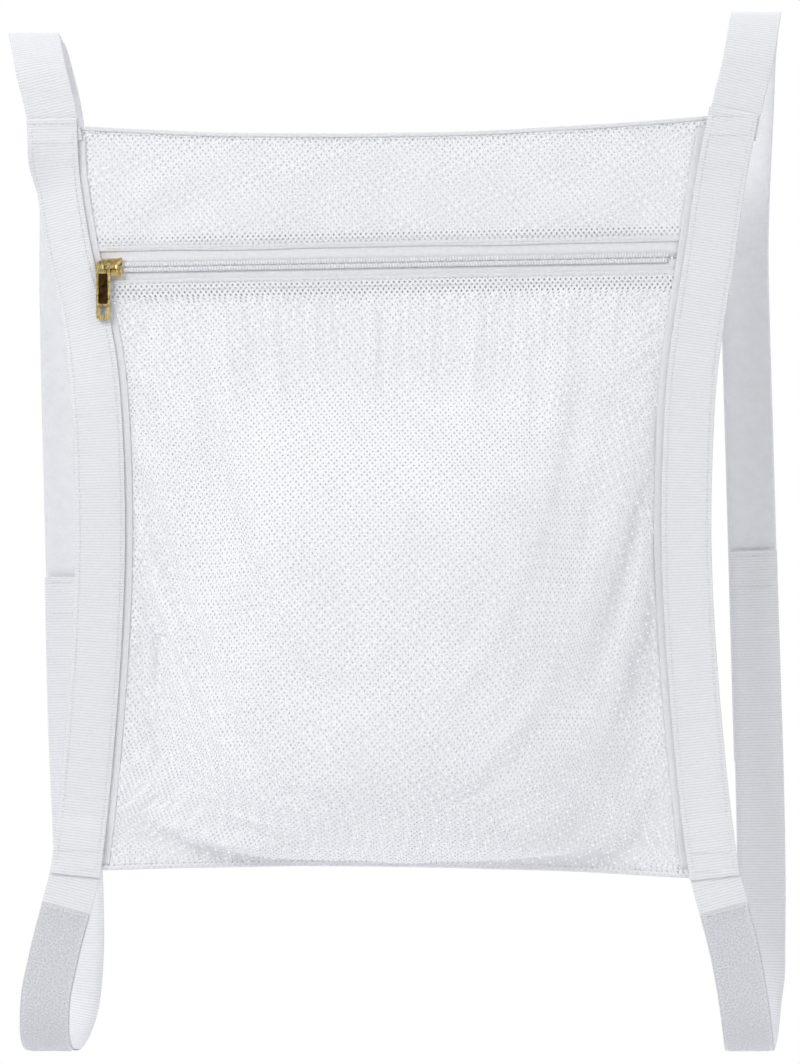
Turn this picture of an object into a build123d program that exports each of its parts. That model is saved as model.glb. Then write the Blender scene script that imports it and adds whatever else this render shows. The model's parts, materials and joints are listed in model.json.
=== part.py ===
from build123d import *
import math
import os

# Zipped mesh shoe bag that hangs on a door by two hook-and-loop strap loops. Millimetres.
# The bag is seen from its front: +X is its right side, -Y its front, +Z up.
# The origin is on the top edge of the door, midway between the loops and midway through the door.

# Driving dimensions.
WEBBING_WIDTH = 27.0
WEBBING = 1.2
MESH = 0.6
SEAM_TAPE = 0.6
SEAM_TAPE_SHOWS = 4.0
ZIP_TAPE = 0.5
HOOK_TAPE = 1.0
LOOP_TAPE = 1.0
SEWN_GAP = 0.1
RUNNING_GAP = 0.35
SEAM_ALLOWANCE = 5.0
FLAT_SEAM = 5.0
EDGE_INSET = 1.5

# The rear face of the bag lies against the door, and the straps close round it.
BACK_FACE_Y = -27.6
TAIL_Y = 32.5
BAG_DEPTH = 75.0

# Heights of the zip, of the seams and of the strap folds.
ZIP_Z = -127.0
ZIP_SLOPE = 0.018
ZIP_HALF_WIDTH = 17.0
ZIP_OVERLAP = 4.0
CHAIN_HALF_WIDTH = 2.75
CHAIN_SLIT = 0.55
CHAIN = 1.8
SEAM_OVERLAP = 14.0
BOTTOM_FOLD_Z = -555.0
HOOK_START_Z = -479.0
UPPER_TAIL_LENGTH = 380.0

# Each side of the bag: the height and the distance from the middle of the webbing's centre line.
SIDE_LINE = {
    "left": [
        (-47, 184.7), (-78, 183.6), (-100, 180.5), (-127, 175.8), (-160, 166.6), (-198, 161.2),
        (-271, 158.6), (-336, 160.8), (-414, 167.0), (-459, 172.3),
    ],
    "right": [
        (-45, 183.4), (-69, 178.2), (-97, 173.7), (-128, 169.3), (-163, 163.6), (-198, 159.6),
        (-271, 157.3), (-336, 160.0), (-414, 166.8), (-460, 172.7),
    ],
}

# The straps: the way along the strap from its fold, negative on the front run and positive on
# the back run, and the distance of its centre line from the middle of the bag.
UPPER_LINE = {
    "left": [
        (-84, 180.6), (-66, 184.8), (-50, 188.8), (0, 198.0), (50, 189.0), (80, 184.6),
        (165, 184.2), (300, 181.0), (430, 177.6),
    ],
    "right": [
        (-96, 180.4), (-76, 183.6), (-50, 190.3), (0, 198.5), (50, 198.3), (107, 195.8),
        (150, 194.7), (250, 197.4), (366, 200.6), (430, 202.4),
    ],
}
LOWER_LINE = {
    "left": [
        (-130, 169.4), (-114, 172.5), (-68, 184.4), (-30, 189.4), (0, 186.6), (32, 178.4),
        (66, 175.0), (114, 175.8), (200, 179.4), (277, 181.0),
    ],
    "right": [
        (-130, 169.0), (-114, 173.0), (-72, 184.0), (-33, 190.4), (0, 194.9), (35, 200.8),
        (57, 203.2), (102, 203.9), (156, 203.1), (238, 200.6), (292, 199.0),
    ],
}
FOLD_TOP_Z = {"left": 0.0, "right": 11.5}
LOWER_TAIL_END_Z = {"left": -296.5, "right": -282.0}
SIGN = {"left": -1.0, "right": 1.0}

# Mid-surfaces of the layers at the side seams, from the back of the bag to its front.
SLIDER_REAR_PLATE = 1.0
SLIDER_REAR_Y = BACK_FACE_Y - MESH - RUNNING_GAP
ZIP_TAPE_Y = SLIDER_REAR_Y - SLIDER_REAR_PLATE - RUNNING_GAP - ZIP_TAPE / 2
FRONT_PANEL_Y = ZIP_TAPE_Y - (ZIP_TAPE + MESH) / 2 - SEWN_GAP
SEAM_TAPE_Y = FRONT_PANEL_Y - (MESH + SEAM_TAPE) / 2 - SEWN_GAP
STRAP_Y = SEAM_TAPE_Y - (SEAM_TAPE + WEBBING) / 2 - SEWN_GAP
BAND_END_Y = STRAP_Y - WEBBING - SEWN_GAP

# Mid-surfaces of the closure on the back run, from its outer webbing to its inner one.
LOOP_Y = TAIL_Y - (WEBBING + LOOP_TAPE) / 2 - SEWN_GAP
HOOK_Y = LOOP_Y - (LOOP_TAPE + HOOK_TAPE) / 2 - RUNNING_GAP
LOWER_TAIL_Y = HOOK_Y - (HOOK_TAPE + WEBBING) / 2 - SEWN_GAP

# The slider and its pull, from the slider's middle.
SLIDER_X = -153.3
SLIDER_LENGTH = 13.0
SLIDER_WIDTH = 10.4
SLIDER_FRONT_PLATE = 1.3
SLIDER_FLANGE = 0.7
BRIDGE_WIDTH = 2.0
BRIDGE_THICK = 1.1
BRIDGE_RISE = 4.0
PULL_LENGTH = 32.0
PULL_WIDTH = 7.6
PULL_THICK = 1.2
PULL_ABOVE_LEG = 3.6

# Finer details of the seams, the zip and the stitching.
BAND_END_COVER = SEAM_OVERLAP + 4.0
BAND_END_STEP = 8.0
TAPE_UNDER_BAND = 8.0
COIL_SHORT_OF_TAPE = 2.5
COIL_ROUNDING = 0.6
NOSE_TAPER = 3.0
NOSE_CUT = 2.6
PLATE_FLARE = 0.5
THREAD = 0.4
STITCH = 2.3
STITCHES_PER_ROW = 8
STITCH_ROWS = (2.5, 10.5)


def smooth(points, at):
    """The value at a place on the smooth curve through the points, which are (place, value)."""
    points = sorted(points)
    slopes = []
    for i in range(len(points)):
        before = points[max(i - 1, 0)]
        after = points[min(i + 1, len(points) - 1)]
        slopes.append((after[1] - before[1]) / (after[0] - before[0]))
    i = 0
    while i < len(points) - 2 and at > points[i + 1][0]:
        i += 1
    (x0, v0), (x1, v1) = points[i], points[i + 1]
    span = x1 - x0
    t = (at - x0) / span
    return (
        (2 * t**3 - 3 * t**2 + 1) * v0
        + (t**3 - 2 * t**2 + t) * span * slopes[i]
        + (3 * t**2 - 2 * t**3) * v1
        + (t**3 - t**2) * span * slopes[i + 1]
    )


def side_x(side, z, inboard=0.0):
    """X of the centre line of a side's webbing, or of a line that far inboard of it."""
    return SIGN[side] * (smooth(SIDE_LINE[side], z) - inboard)


def top_edge_z(x):
    """The mesh sags between the upper straps, and hangs a little lower at its left corner."""
    return -57.0 + 6.5 * (x / 170) ** 2 + 0.017 * x


def bottom_edge_z(x):
    return -454.0 - 3.5 * (x / 160) ** 2 - 0.013 * x


def zip_line_z(x):
    """The chain is straight, and rises a little from its left end to its right end."""
    return ZIP_Z + ZIP_SLOPE * x


def on_zip_line(x, y, solid):
    """A solid made along X at the origin, laid along the chain at a place on it."""
    return Pos(x, y, zip_line_z(x)) * Rot(0, -math.degrees(math.atan(ZIP_SLOPE)), 0) * solid


def steps(start, end, longest):
    """Evenly spaced values from start to end, no further apart than longest."""
    count = max(1, math.ceil(abs(end - start) / longest))
    return [start + (end - start) * i / count for i in range(count + 1)]


def ribbon(stations, width, thickness):
    """A flat band through stations of (centre, along, outward), with square edges."""
    outlines = []
    for centre, along, outward in stations:
        across = along.cross(outward).normalized() * (width / 2)
        through = outward * (thickness / 2)
        corners = [
            centre - across - through,
            centre + across - through,
            centre + across + through,
            centre - across + through,
        ]
        outlines.append(Wire.make_polygon(corners, close=True))
    return Solid.make_loft(outlines, ruled=True)


# ---------------------------------------------------------------- side seams


def band_stations(side, z_top, z_bottom, depth, inboard=0.0):
    """Stations down a side seam. depth gives the band's Y at a height."""
    stations = []
    for z in steps(z_top, z_bottom, 12.0):
        here = Vector(side_x(side, z, inboard), depth(z), z)
        ahead = Vector(side_x(side, z - 1, inboard), depth(z), z - 1)
        stations.append((here, (ahead - here).normalized(), Vector(0, -1, 0)))
    return stations


def side_webbing(side):
    """The ribbed band down one side, whose ends lie over the ends of the straps."""
    z_top = SIDE_LINE[side][0][0]
    z_bottom = SIDE_LINE[side][-1][0]

    def depth(z):
        from_end = min(z_top - z, z - z_bottom)
        rise = min(1.0, max(0.0, (BAND_END_COVER + 12.0 - from_end) / BAND_END_STEP))
        return STRAP_Y + (BAND_END_Y - STRAP_Y) * rise

    return ribbon(band_stations(side, z_top, z_bottom, depth), WEBBING_WIDTH, WEBBING)


def seam_tape(side):
    """The narrow binding under the webbing, which shows along its inner edge."""
    z_top = SIDE_LINE[side][0][0] - SEAM_ALLOWANCE - 4.0
    z_bottom = SIDE_LINE[side][-1][0] + SEAM_ALLOWANCE
    width = WEBBING_WIDTH / 2 + SEAM_TAPE_SHOWS
    stations = band_stations(side, z_top, z_bottom, lambda z: SEAM_TAPE_Y, inboard=width / 2)
    return ribbon(stations, width, SEAM_TAPE)


# ---------------------------------------------------------------- mesh panels


def flat_panel(z_high, z_low, inset, y_rear, thickness):
    """A flat sheet between two height functions of x, as wide as the bag, inset from the webbing's
    outer edges, and reaching forwards from its rear face."""
    reach = WEBBING_WIDTH / 2 - inset
    ends = {}
    for side in SIGN:
        z_mid = (z_high(side_x(side, z_high(0))) + z_low(side_x(side, z_low(0)))) / 2
        x_high = side_x(side, z_high(side_x(side, z_mid)), -reach)
        x_low = side_x(side, z_low(side_x(side, z_mid)), -reach)
        ends[side] = (x_high, x_low)
    top = Spline(*[(x, y_rear, z_high(x)) for x in steps(ends["left"][0], ends["right"][0], 45.0)])
    bottom = Spline(
        *[(x, y_rear, z_low(x)) for x in steps(ends["right"][1], ends["left"][1], 45.0)]
    )
    edges = []
    for side in ("right", "left"):
        z_a = z_high(ends[side][0])
        z_b = z_low(ends[side][1])
        points = [(side_x(side, z, -reach), y_rear, z) for z in steps(z_a, z_b, 25.0)]
        points[0] = (ends[side][0], y_rear, z_a)
        points[-1] = (ends[side][1], y_rear, z_b)
        edges.append(Spline(*points) if len(points) > 2 else Line(*points))
    outline = Wire([top, edges[0], bottom, edges[1]])
    return extrude(Face(outline), amount=thickness, dir=(0, -1, 0))


def back_panel():
    """The back sheet, with its seam allowance turned forwards all round."""
    sheet = flat_panel(top_edge_z, bottom_edge_z, EDGE_INSET, BACK_FACE_Y, MESH)
    lip = SLIDER_REAR_PLATE + RUNNING_GAP + SEWN_GAP
    rim = flat_panel(top_edge_z, bottom_edge_z, EDGE_INSET, BACK_FACE_Y - MESH, lip)
    inside = flat_panel(
        lambda x: top_edge_z(x) - SEAM_ALLOWANCE,
        lambda x: bottom_edge_z(x) + SEAM_ALLOWANCE,
        EDGE_INSET + SEAM_ALLOWANCE,
        BACK_FACE_Y - MESH + 1.0,
        lip + 2.0,
    )
    return sheet + (rim - inside)


def front_panel_upper():
    """The flat sheet above the zip."""
    return flat_panel(
        top_edge_z,
        lambda x: zip_line_z(x) + ZIP_HALF_WIDTH - ZIP_OVERLAP,
        EDGE_INSET,
        FRONT_PANEL_Y + MESH / 2,
        MESH,
    )


def swell(t):
    """1 at t = 0, falling to 0 at t = 1 and -1, where it meets the flat seam margin smoothly."""
    return (1 - min(1.0, abs(t)) ** 4.5) ** 2


def crown_y(x, z):
    """Y of the front face of the sheet below the zip: crowned over the shoes, flat at its seams."""
    z_start = zip_line_z(x) - ZIP_HALF_WIDTH + ZIP_OVERLAP - FLAT_SEAM
    z_end = bottom_edge_z(x) + FLAT_SEAM
    tape_edge = WEBBING_WIDTH / 2 + SEAM_TAPE_SHOWS + FLAT_SEAM
    inner_left = side_x("left", z, tape_edge)
    inner_right = side_x("right", z, tape_edge)
    across = (2 * x - inner_left - inner_right) / (inner_right - inner_left)
    fall = (z_start - z) / (z_start - z_end)
    down = 2 * min(1.0, max(0.0, fall)) ** 1.4 - 1
    return FRONT_PANEL_Y - MESH / 2 - BAG_DEPTH * swell(across) * swell(down)


def front_panel_lower():
    """The sheet below the zip, crowned forwards between flat seam margins. Its rear face is offset
    from its front face along the normal."""
    below_chain = ZIP_HALF_WIDTH - ZIP_OVERLAP
    reach = WEBBING_WIDTH / 2 - EDGE_INSET
    front_rows, rear_rows = [], []
    for v in steps(0.0, 1.0, 1 / 44):
        z_middle = ZIP_Z - below_chain + (bottom_edge_z(0) - ZIP_Z + below_chain) * v
        x_left = side_x("left", z_middle, -reach)
        x_right = side_x("right", z_middle, -reach)
        front_row, rear_row = [], []
        for u in steps(0.0, 1.0, 1 / 48):
            x = x_left + (x_right - x_left) * u
            z_start = zip_line_z(x) - below_chain
            z = z_start + (bottom_edge_z(x) - z_start) * v
            here = Vector(x, crown_y(x, z), z)
            slope_x = crown_y(x + 0.5, z) - crown_y(x - 0.5, z)
            slope_z = crown_y(x, z + 0.5) - crown_y(x, z - 0.5)
            front_row.append(here)
            rear_row.append(here + Vector(-slope_x, 1, -slope_z).normalized() * MESH)
        front_rows.append(front_row)
        rear_rows.append(rear_row)
    front, rear = [
        Face.make_surface_from_array_of_points(rows, tol=0.02, max_deg=3)
        for rows in (front_rows, rear_rows)
    ]
    rims = []
    for edge in front.edges():
        opposite = min(rear.edges(), key=lambda e: (e.center() - edge.center()).length)
        rims.append(Face.make_surface_from_curves(edge, opposite))
    return Solid(Shell([front, rear] + rims))


# ---------------------------------------------------------------- zip


def zip_tape(sign):
    """One tape of the zip, above (1) or below (-1) the slit between the coils."""
    x_left = side_x("left", ZIP_Z, WEBBING_WIDTH / 2 - TAPE_UNDER_BAND)
    x_right = side_x("right", ZIP_Z, WEBBING_WIDTH / 2 - TAPE_UNDER_BAND)
    height = ZIP_HALF_WIDTH - CHAIN_SLIT
    strip = Pos(0, 0, sign * (CHAIN_SLIT + height / 2)) * Box(x_right - x_left, ZIP_TAPE, height)
    return on_zip_line((x_left + x_right) / 2, ZIP_TAPE_Y, strip)


def zip_coil(sign):
    """One row of the coil, sewn on the front of its tape."""
    inboard = WEBBING_WIDTH / 2 + SEAM_TAPE_SHOWS + COIL_SHORT_OF_TAPE
    x_left = side_x("left", ZIP_Z, inboard)
    x_right = side_x("right", ZIP_Z, inboard)
    height = CHAIN_HALF_WIDTH - CHAIN_SLIT
    y = ZIP_TAPE_Y - ZIP_TAPE / 2 - SEWN_GAP - CHAIN / 2
    row = Box(x_right - x_left, CHAIN, height)
    row = fillet(row.edges().filter_by(Axis.X).group_by(Axis.Y)[0], COIL_ROUNDING)
    row = Pos(0, 0, sign * (CHAIN_SLIT + height / 2)) * row
    return on_zip_line((x_left + x_right) / 2, y, row)


def slider_plate(y_rear, thickness):
    """One plate of the slider: a rounded nose to the left and square flared corners to the right."""
    half_length = SLIDER_LENGTH / 2
    half_width = SLIDER_WIDTH / 2
    outline = Polyline(
        (-half_length, -half_width + NOSE_CUT),
        (-half_length + NOSE_TAPER, -half_width + PLATE_FLARE),
        (half_length - 2.5, -half_width + PLATE_FLARE),
        (half_length, -half_width),
        (half_length, half_width),
        (half_length - 2.5, half_width - PLATE_FLARE),
        (-half_length + NOSE_TAPER, half_width - PLATE_FLARE),
        (-half_length, half_width - NOSE_CUT),
        close=True,
    )
    face = Plane.XZ.offset(-y_rear) * make_face(outline)
    plate = extrude(face, amount=thickness, dir=(0, -1, 0))
    nose = plate.edges().filter_by(Axis.Y).sort_by(Axis.X)[:4]
    return fillet(nose, 1.0)


def slider_body():
    """Two plates round the chain, joined at the nose by a thin web, with flanges and a bridge."""
    coil_front_y = ZIP_TAPE_Y - ZIP_TAPE / 2 - SEWN_GAP - CHAIN
    front_plate_y = coil_front_y - RUNNING_GAP
    rear = slider_plate(SLIDER_REAR_Y, SLIDER_REAR_PLATE)
    front = slider_plate(front_plate_y, SLIDER_FRONT_PLATE)
    web_depth = SLIDER_REAR_Y - front_plate_y + 0.4
    web_y = (SLIDER_REAR_Y + front_plate_y) / 2
    web = Pos(-SLIDER_LENGTH / 2 + 4.8, web_y, 0) * Box(3.0, web_depth, CHAIN_SLIT)
    body = rear + front + web
    tape_front_y = ZIP_TAPE_Y - ZIP_TAPE / 2 - RUNNING_GAP
    flange_depth = tape_front_y - front_plate_y + 0.3
    for sign in (-1, 1):
        z = sign * (SLIDER_WIDTH / 2 - PLATE_FLARE - SLIDER_FLANGE / 2)
        y = tape_front_y - flange_depth / 2
        body += Pos(2.9, y, z) * Box(SLIDER_LENGTH - 6.6, flange_depth, SLIDER_FLANGE)
    body += bridge(front_plate_y - SLIDER_FRONT_PLATE)
    return on_zip_line(SLIDER_X, 0, body)


def bridge(foot_y):
    """The bridge over the front plate: a flat bar with a leg near the nose that holds the pull."""
    half = SLIDER_LENGTH / 2 - 2.2
    rise = BRIDGE_RISE
    block = Box(2 * half, rise + 0.3, BRIDGE_WIDTH)
    block = fillet(block.edges().filter_by(Axis.Z).group_by(Axis.Y)[0], 1.6)
    space = Box(2 * half - 2 * BRIDGE_THICK - 0.6, rise - BRIDGE_THICK + 0.3, BRIDGE_WIDTH + 1)
    middle_y = foot_y - rise / 2 + 0.15
    return Pos(0, middle_y, 0) * block - Pos(0, middle_y + BRIDGE_THICK / 2, 0) * space


def pull_pivot():
    """The middle of the bridge's left leg, on which the pull turns."""
    coil_front_y = ZIP_TAPE_Y - ZIP_TAPE / 2 - SEWN_GAP - CHAIN
    foot_y = coil_front_y - RUNNING_GAP - SLIDER_FRONT_PLATE
    leg_x = SLIDER_X - SLIDER_LENGTH / 2 + 2.2 + (BRIDGE_THICK + 0.3) / 2
    return Vector(leg_x, foot_y - 0.5 - PULL_THICK / 2, zip_line_z(leg_x))


def pull_tab():
    """The flat pull that hangs from its eye, with raised rails and a finger hole near its end."""
    pivot = pull_pivot()
    low = PULL_ABOVE_LEG - PULL_LENGTH
    with BuildPart() as tab:
        with BuildSketch(Plane.XZ.offset(PULL_THICK / 2)):
            with Locations((0, (PULL_ABOVE_LEG + low) / 2)):
                RectangleRounded(PULL_WIDTH, PULL_LENGTH, 2.2)
        extrude(amount=-PULL_THICK)
        with BuildSketch(Plane.XZ.offset(PULL_THICK / 2)):
            with Locations((0, 0.4)):
                RectangleRounded(4.0, 4.2, 1.0)
            with Locations((0, low + 5.2)):
                SlotOverall(5.4, 3.2, rotation=90)
        extrude(amount=-PULL_THICK, mode=Mode.SUBTRACT)
        with BuildSketch(Plane.XZ.offset(PULL_THICK / 2)):
            with Locations((0, (low + 8.6 - 3.4) / 2)):
                RectangleRounded(PULL_WIDTH - 2.6, -3.4 - low - 8.6, 0.8)
        extrude(amount=-PULL_THICK / 4, mode=Mode.SUBTRACT)
    return Pos(*pivot) * tab.part


# ---------------------------------------------------------------- straps


def quarter(radius):
    return math.pi * radius / 2


def upper_stations(side, start, end, lift=0.0, longest=12.0):
    """Stations along an upper strap from its way start to its way end, both counted from the fold.
    lift moves them outwards from the webbing's mid-surface."""
    radius = TAIL_Y
    centre_z = FOLD_TOP_Z[side] + WEBBING / 2 - radius
    turn = quarter(radius)

    def place(way):
        x = SIGN[side] * smooth(UPPER_LINE[side], way)
        if abs(way) > turn:
            out = Vector(0, math.copysign(1, way), 0)
            return Vector(x, 0, centre_z - (abs(way) - turn)) + out * radius, out
        out = Vector(0, math.sin(way / radius), math.cos(way / radius))
        return Vector(x, 0, centre_z) + out * radius, out

    return strap_stations(place, start, end, lift, turn, longest)


def lower_stations(side, start, end, lift=0.0, longest=12.0):
    """The same along a lower strap, whose fold is narrower because its tail lies inside."""
    radius = (LOWER_TAIL_Y - STRAP_Y) / 2
    middle_y = (LOWER_TAIL_Y + STRAP_Y) / 2
    centre_z = BOTTOM_FOLD_Z + radius
    turn = quarter(radius)

    def place(way):
        x = SIGN[side] * smooth(LOWER_LINE[side], way)
        if abs(way) > turn:
            out = Vector(0, math.copysign(1, way), 0)
            return Vector(x, middle_y, centre_z + (abs(way) - turn)) + out * radius, out
        out = Vector(0, math.sin(way / radius), -math.cos(way / radius))
        return Vector(x, middle_y, centre_z) + out * radius, out

    return strap_stations(place, start, end, lift, turn, longest)


def strap_stations(place, start, end, lift, turn, longest):
    """Stations between two ways, closer together round the fold, with its two ends among them."""
    marks = [start] + [m for m in (-turn, turn) if start < m < end] + [end]
    ways = [start]
    for a, b in zip(marks, marks[1:]):
        on_fold = abs(a + b) / 2 < turn
        ways += steps(a, b, 7.0 if on_fold else longest)[1:]
    stations = []
    for way in ways:
        centre, out = place(way)
        along = (place(way + 0.5)[0] - place(way - 0.5)[0]).normalized()
        stations.append((centre + out * lift, along, out))
    return stations


def way_down_front(side):
    """The way of an upper strap's sewn end, behind the top of the side webbing."""
    centre_z = FOLD_TOP_Z[side] + WEBBING / 2 - TAIL_Y
    z_end = SIDE_LINE[side][0][0] - SEAM_OVERLAP
    return -(quarter(TAIL_Y) + centre_z - z_end)


def way_on_lower(z):
    """The way on a lower strap's straight runs at a height."""
    radius = (LOWER_TAIL_Y - STRAP_Y) / 2
    return quarter(radius) + z - (BOTTOM_FOLD_Z + radius)


def straps(side):
    """The four webbing pieces and the closure tapes of one side. Each strap is one length of
    webbing, in two solids that part at the line where its tail swings."""
    top_turn = quarter(TAIL_Y)
    tail_end = top_turn + UPPER_TAIL_LENGTH
    split = top_turn + RUNNING_GAP
    low_turn = quarter((LOWER_TAIL_Y - STRAP_Y) / 2)
    low_split = low_turn + RUNNING_GAP
    low_start = -way_on_lower(SIDE_LINE[side][-1][0] + SEAM_OVERLAP)
    low_end = way_on_lower(LOWER_TAIL_END_Z[side])
    hook_start = -way_on_lower(HOOK_START_Z)
    hook_lift = (WEBBING + HOOK_TAPE) / 2 + SEWN_GAP
    loop_lift = -(WEBBING + LOOP_TAPE) / 2 - SEWN_GAP
    tape_width = WEBBING_WIDTH - 1.0
    return {
        f"upper_strap_{side}": ribbon(
            upper_stations(side, way_down_front(side), top_turn), WEBBING_WIDTH, WEBBING
        ),
        f"upper_strap_tail_{side}": ribbon(
            upper_stations(side, split, tail_end), WEBBING_WIDTH, WEBBING
        ),
        f"loop_tape_{side}": ribbon(
            upper_stations(side, split, tail_end - 3.0, loop_lift), tape_width, LOOP_TAPE
        ),
        f"lower_strap_{side}": ribbon(
            lower_stations(side, low_start, low_turn), WEBBING_WIDTH, WEBBING
        ),
        f"lower_strap_tail_{side}": ribbon(
            lower_stations(side, low_split, low_end), WEBBING_WIDTH, WEBBING
        ),
        f"hook_tape_{side}": ribbon(
            lower_stations(side, hook_start, low_turn, hook_lift), tape_width, HOOK_TAPE
        ),
        f"hook_tape_tail_{side}": ribbon(
            lower_stations(side, low_split, low_end - 6.0, hook_lift), tape_width, HOOK_TAPE
        ),
    }


# ---------------------------------------------------------------- stitching


def seam_stitches(side, end):
    """Two rows of thread that hold a strap's end under the end of the side webbing."""
    z_end = SIDE_LINE[side][0 if end == "top" else -1][0]
    inwards = -1 if end == "top" else 1
    y = BAND_END_Y - WEBBING / 2 - THREAD / 2 - 0.02
    pitch = (WEBBING_WIDTH - 4.0) / STITCHES_PER_ROW
    threads = []
    for row in STITCH_ROWS:
        z = z_end + inwards * row
        x_middle = side_x(side, z)
        for i in range(STITCHES_PER_ROW):
            x = x_middle + (i - (STITCHES_PER_ROW - 1) / 2) * pitch
            threads.append(Pos(x, y, z) * Box(STITCH, THREAD, THREAD))
    return Compound(children=threads)


def main():
    os.makedirs("parts", exist_ok=True)
    nodes = {
        "back_panel": back_panel(),
        "front_panel_upper": front_panel_upper(),
        "front_panel_lower": front_panel_lower(),
        "zip_tape_upper": zip_tape(1),
        "zip_tape_lower": zip_tape(-1),
        "zip_coil_upper": zip_coil(1),
        "zip_coil_lower": zip_coil(-1),
        "slider_body": slider_body(),
        "pull_tab": pull_tab(),
    }
    for side in SIGN:
        nodes[f"side_webbing_{side}"] = side_webbing(side)
        nodes[f"seam_tape_{side}"] = seam_tape(side)
        nodes.update(straps(side))
        for end in ("top", "bottom"):
            nodes[f"corner_stitches_{end}_{side}"] = seam_stitches(side, end)
    for name, solid in nodes.items():
        export_step(solid, f"parts/{name}.step")


main()
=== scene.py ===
import json
import math

import bpy
import numpy as np
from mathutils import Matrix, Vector
from mathutils.bvhtree import BVHTree


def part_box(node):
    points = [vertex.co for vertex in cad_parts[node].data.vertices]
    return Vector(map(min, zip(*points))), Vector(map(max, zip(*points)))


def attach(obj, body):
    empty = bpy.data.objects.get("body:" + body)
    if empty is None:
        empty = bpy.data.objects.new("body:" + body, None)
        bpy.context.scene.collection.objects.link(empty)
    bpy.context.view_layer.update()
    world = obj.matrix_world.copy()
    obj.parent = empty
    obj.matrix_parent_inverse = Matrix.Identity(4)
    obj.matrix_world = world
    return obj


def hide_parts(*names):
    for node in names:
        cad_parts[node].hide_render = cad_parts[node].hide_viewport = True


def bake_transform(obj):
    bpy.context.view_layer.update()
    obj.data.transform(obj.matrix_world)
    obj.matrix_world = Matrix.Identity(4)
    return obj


# A white mesh shoe bag that hangs by two strap loops: its net, webbing, zip and stitching, built
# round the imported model. Metres. +X is the bag's right side, -Y its front, +Z up.

MM = 0.001
SIDES = {"left": -1.0, "right": 1.0}
FRONT = (0.0, -1.0, 0.0)

# Webbing and tapes. A band's run is trimmed at both ends.
WEBBING_WIDTH = 27 * MM
WEBBING = 1.2 * MM
RIB_PITCH = 1.5 * MM
RIB_DEPTH = 0.17 * MM
TAPE_WIDTH = 26 * MM
PILE_THICK = 1.0 * MM
HOOK_BASE = 0.45 * MM
HOOK_PITCH = 1.7 * MM
SEAM_TAPE_WIDTH = 17.5 * MM
SEAM_TAPE = 0.6 * MM
END_TRIM = 3 * MM

# The net: holes in staggered rows. The flat sheets' rows are turned, so that the layers' holes don't
# fall in line. Each is cut from a lattice wider than the bag, and SEAM_X is a place near a seam.
HOLE_PITCH = 2.9 * MM
ROW_PITCH = 3.6 * MM
HOLE_HALF_WIDTH = 0.69 * MM
HOLE_HALF_HEIGHT = 0.88 * MM
NET_RELIEF = 0.11 * MM
UPPER_TURN = math.radians(1.2)
BACK_TURN = math.radians(-25)
QUADS_PER_HOLE = 3
LATTICE_WIDTH = 0.44
SEAM_X = 0.19

# The zip, and where the net's folded edges lie above and below its chain.
NET_ABOVE_CHAIN = 9 * MM
NET_BELOW_CHAIN = 7 * MM
TAPE_HALF_WIDTH = 17 * MM
TOOTH_PITCH = 1.5 * MM

# The bag's left band rolls back around its inner edge, beside the zip.
ROLL = math.radians(33)
ROLL_BEND = 8 * MM
ROLL_Y = -30 * MM
ROLL_TOP_Z = -62 * MM
ROLL_FULL_Z = (-92 * MM, -138 * MM)
ROLL_LOW_Z = -215 * MM

# The net over the shoes' space: a grid of points, rounded in passes, and a cloth simulation that is
# stopped while the net still moves, with each point's movement limited.
CROWN_ROWS, CROWN_COLUMNS = 105, 119
CROWN_ROUNDING = 60
SIM_STEPS = 14
SIM_CAP = 12 * MM
CLOTH = {
    "quality": 7, "mass": 0.05, "tension_stiffness": 12, "compression_stiffness": 6,
    "shear_stiffness": 2, "bending_stiffness": 0.03, "air_damping": 3, "shrink_min": -0.035,
    "use_pressure": True, "uniform_pressure_force": 0.6, "vertex_group_mass": "pins",
}
SIM_GRAVITY = 0.6

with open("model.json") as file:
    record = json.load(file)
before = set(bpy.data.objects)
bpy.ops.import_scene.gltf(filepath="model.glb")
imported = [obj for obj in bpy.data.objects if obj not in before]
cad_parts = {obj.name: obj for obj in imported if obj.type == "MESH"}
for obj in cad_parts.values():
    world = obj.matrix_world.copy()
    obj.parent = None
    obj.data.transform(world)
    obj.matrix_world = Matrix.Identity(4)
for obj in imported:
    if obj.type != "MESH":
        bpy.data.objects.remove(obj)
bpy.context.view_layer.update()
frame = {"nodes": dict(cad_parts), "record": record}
joints = {j["name"]: j for j in frame["record"]["behaviour"]["joints"]}


# ---- reading the frame


def node_points(name):
    mesh = frame["nodes"][name].data
    points = np.empty(len(mesh.vertices) * 3)
    mesh.vertices.foreach_get("co", points)
    return points.reshape(-1, 3)


def split_line(points, way, axis, reach, margin):
    """The low and the high side of a CAD ribbon along an axis, as a function of the way along it.
    A point is on a side if it lies within the margin of the furthest point that is near it."""
    value = points[:, axis]
    near = [value[np.abs(way - w) < reach] for w in way]
    low = value < np.array([n.min() for n in near]) + margin
    high = value > np.array([n.max() for n in near]) - margin
    sides = []
    for part in (low, high):
        order = np.argsort(way[part])
        sides.append((way[part][order], value[part][order]))
    return lambda ways: [np.interp(ways, *side) for side in sides]


def centre_line(points, way, axis, reach, margin, rounding):
    """The middle of a CAD ribbon along an axis, with its corners rounded."""
    grid = np.arange(way.min(), way.max(), 1 * MM)
    values = np.mean(split_line(points, way, axis, reach, margin)(grid), axis=0)
    spread = int(round(2 * rounding / MM))
    kernel = np.exp(-2 * (np.arange(-spread, spread + 1) * MM / rounding) ** 2)
    padded = np.pad(values, spread, "reflect", reflect_type="odd")
    rounded = np.convolve(padded, kernel / kernel.sum(), "valid")
    return lambda ways: np.interp(ways, grid, rounded)


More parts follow.
